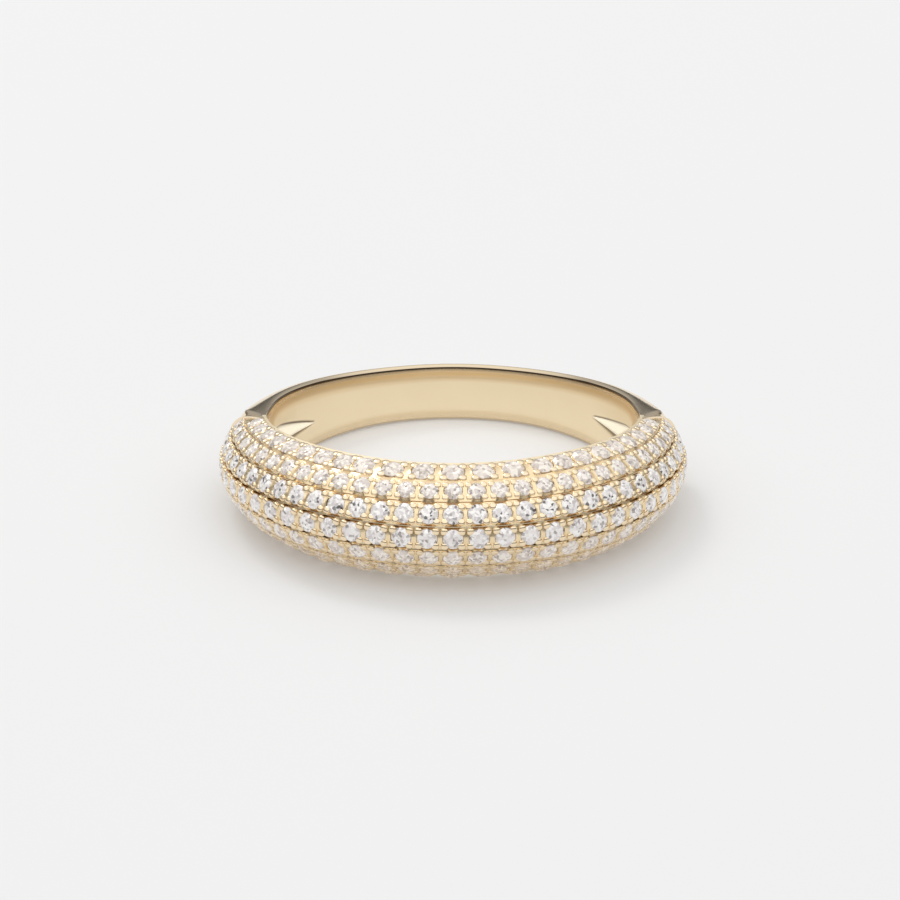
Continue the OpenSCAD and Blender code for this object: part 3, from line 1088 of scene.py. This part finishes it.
def model_stone():
    """A round stone, cut facet by facet from a short rod."""
    clear_selection()
    bpy.ops.mesh.primitive_cylinder_add(vertices=16, radius=0.5, depth=1.2)
    stone = bpy.context.object
    edit(stone, "FACE")
    for count, first, tilt, side, reach, height in FACETS:
        for n in range(count):
            t, lean = math.radians(first + n * 360 / count), math.radians(tilt)
            normal = (math.sin(lean) * math.cos(t), math.sin(lean) * math.sin(t),
                      side * math.cos(lean))
            bpy.ops.mesh.select_all(action="SELECT")
            bpy.ops.mesh.bisect(plane_co=(reach * math.cos(t), reach * math.sin(t), height),
                                plane_no=normal, use_fill=True, clear_outer=True)
    bpy.ops.object.mode_set(mode="OBJECT")
    return stone


def make_stones():
    stone = model_stone()
    pattern = points_of(stone)
    shapes, places = [], []
    for n, (k, i) in enumerate(cells()):
        centre, along, up, out = seat_place(k, i, -gems().seat_drop)
        spin = math.radians(n * TURN_STEP % TURN_REPEAT)
        lean = Vector((math.sin(n * LEAN_STEP_X), math.cos(n * LEAN_STEP_Y), 0))
        lean *= math.radians(LEAN_DEG)
        tilt = Matrix.Rotation(lean.length, 3, lean.normalized()) @ Matrix.Rotation(spin, 3, "Z")
        x, y, h = (pattern @ np.array(tilt).T * stone_d(k, i)).T
        shapes.append(at_rest(centre + np.outer(x, along) + np.outer(y, up) + np.outer(h, out)))
        places.append(pattern * (1, 1, 0) + (0, 0, n * MOSAIC_STEP))
    marks = {"fire": [SPARKLE[k] for k, i in cells()], "warm": [GOLD_REFLECTION[k] for k, i in cells()]}
    stones = copies(stone, "cut_stones", shapes, places, marks)
    into_place(stones, "cut_stones", clear_stone())
    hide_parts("stones")


# The stage, with the ground's size in metres, and the camera's picture and sensor widths
GROUND_SIZE = 6
PICTURE, SENSOR = 900, 36


def make_floor():
    clear_selection()
    bpy.ops.mesh.primitive_plane_add(size=GROUND_SIZE)
    ground = bpy.context.object
    ground.name = "ground"
    ground.data.materials.append(pale_floor())


def area_light(name, place, aim, size, power):
    data = bpy.data.lights.new(name, "AREA")
    data.shape = "RECTANGLE"
    data.size, data.size_y = size
    data.energy = power
    lamp = bpy.data.objects.new(name, data)
    bpy.context.scene.collection.objects.link(lamp)
    lamp.location = place
    lamp.rotation_euler = (Vector(aim) - Vector(place)).to_track_quat("-Z", "Y").to_euler()


# Brightness of the studio against the sine of the height above the horizon
FRONT_SKY = ((0.0, 0.16), (0.30, 0.24), (0.42, 0.5), (0.55, 1.05), (1.0, 1.1))
BACK_SKY = ((0.0, 0.05), (0.03, 0.08), (0.14, 0.36), (0.32, 0.45), (0.6, 0.8), (1.0, 1.1))
SKY_STRENGTH = 1.08

# How far to either side of the middle the two skies fade into each other
SKY_FADE = 0.3


def make_world():
    world = bpy.data.worlds.new("studio")
    bpy.context.scene.world = world
    world.use_nodes = True
    nodes, links = world.node_tree.nodes, world.node_tree.links
    nodes.clear()
    end = nodes.new("ShaderNodeOutputWorld")
    sky = nodes.new("ShaderNodeBackground")
    coords = nodes.new("ShaderNodeTexCoord")
    split = nodes.new("ShaderNodeSeparateXYZ")
    links.new(coords.outputs["Generated"], split.inputs["Vector"])
    halves = []
    for tones in (FRONT_SKY, BACK_SKY):
        ramp = nodes.new("ShaderNodeValToRGB")
        Tree.set_stops(ramp.color_ramp, [(place, (v, v, v, 1)) for place, v in tones])
        links.new(split.outputs["Z"], ramp.inputs["Fac"])
        halves.append(ramp.outputs["Color"])
    fade = nodes.new("ShaderNodeMapRange")
    fade.inputs["From Min"].default_value = -SKY_FADE
    fade.inputs["From Max"].default_value = SKY_FADE
    links.new(split.outputs["Y"], fade.inputs["Value"])
    both = nodes.new("ShaderNodeMix")
    both.data_type = "RGBA"
    links.new(fade.outputs["Result"], both.inputs["Factor"])
    links.new(halves[0], both.inputs[MIX_A])
    links.new(halves[1], both.inputs[MIX_B])
    links.new(both.outputs[MIX_OUT], sky.inputs["Color"])
    links.new(sky.outputs["Background"], end.inputs["Surface"])
    sky.inputs["Strength"].default_value = SKY_STRENGTH


def make_camera():
    s = bpy.context.scene.ring_studio
    centre = Vector((0, HOLE_CENTRE[1], 0))
    back = Vector((0, -math.cos(s.elevation), math.sin(s.elevation)))
    right = Vector((1, 0, 0))
    up = back.cross(right)
    per_point = MM / s.scale
    across, down = s.centre_x - PICTURE / 2, s.centre_y - PICTURE / 2
    aim = centre + up * down * per_point - right * across * per_point
    data = bpy.data.cameras.new("camera")
    camera = bpy.data.objects.new("camera", data)
    bpy.context.scene.collection.objects.link(camera)
    camera.location = centre + back * s.distance
    camera.rotation_euler = (aim - camera.location).to_track_quat("-Z", "Y").to_euler()
    data.sensor_width = SENSOR
    data.lens = s.scale * (s.distance / MM) / PICTURE * SENSOR
    data.clip_start = 0.01
    bpy.context.scene.camera = camera


# Operators

class RING_OT_band(Operator):
    """Model the band: shank, dome bed, finger wall and hollow"""
    bl_idname = "ring.band"
    bl_label = "Band"

    def execute(self, context):
        make_band()
        return {"FINISHED"}


class RING_OT_field(Operator):
    """Model the cut rails that the stones sit in, and the rims round the field's ends"""
    bl_idname = "ring.field"
    bl_label = "Pave field"

    def execute(self, context):
        make_field()
        make_border()
        return {"FINISHED"}


class RING_OT_prongs(Operator):
    """Model the prongs at the corners of each stone"""
    bl_idname = "ring.prongs"
    bl_label = "Prongs"

    def execute(self, context):
        make_prongs()
        return {"FINISHED"}


class RING_OT_stones(Operator):
    """Cut the stones and set them in their seats"""
    bl_idname = "ring.stones"
    bl_label = "Stones"

    def execute(self, context):
        make_stones()
        return {"FINISHED"}


class RING_OT_stage(Operator):
    """Make the ground, the studio's sky, its light and the camera"""
    bl_idname = "ring.stage"
    bl_label = "Stage"

    def execute(self, context):
        make_floor()
        make_world()
        area_light("back_light", place=(-0.18, 0.22, 0.42), aim=(0, 0, 0), size=(0.16, 0.16),
                   power=0.35)
        make_camera()
        context.scene.view_settings.view_transform = "Standard"
        return {"FINISHED"}


class RING_PT_parts(Panel):
    bl_idname = "RING_PT_parts"
    bl_label = "Dome Ring"
    bl_space_type = "VIEW_3D"
    bl_region_type = "UI"
    bl_category = "Ring"

    def draw(self, context):
        scene = context.scene
        for group in (scene.ring_sizes, scene.ring_stones, scene.ring_colours, scene.ring_studio):
            box = self.layout.box()
            for name in group.bl_rna.properties.keys():
                if name not in ("rna_type", "name"):
                    box.prop(group, name)
        for operator in OPERATORS:
            self.layout.operator(operator.bl_idname)


GROUPS = {"ring_sizes": RingSizes, "ring_stones": StoneSizes, "ring_colours": RingColours,
          "ring_studio": StudioSettings}
OPERATORS = (RING_OT_band, RING_OT_field, RING_OT_prongs, RING_OT_stones, RING_OT_stage)


def register():
    for cls in (*GROUPS.values(), *OPERATORS, RING_PT_parts):
        bpy.utils.register_class(cls)
    for name, group in GROUPS.items():
        setattr(bpy.types.Scene, name, PointerProperty(type=group))


def unregister():
    for name in GROUPS:
        delattr(bpy.types.Scene, name)
    for cls in (RING_PT_parts, *OPERATORS[::-1], *reversed(list(GROUPS.values()))):
        bpy.utils.unregister_class(cls)


def main():
    register()
    bpy.ops.ring.band()
    bpy.ops.ring.field()
    bpy.ops.ring.prongs()
    bpy.ops.ring.stones()
    bpy.ops.ring.stage()


if __name__ == "__main__":
    main()
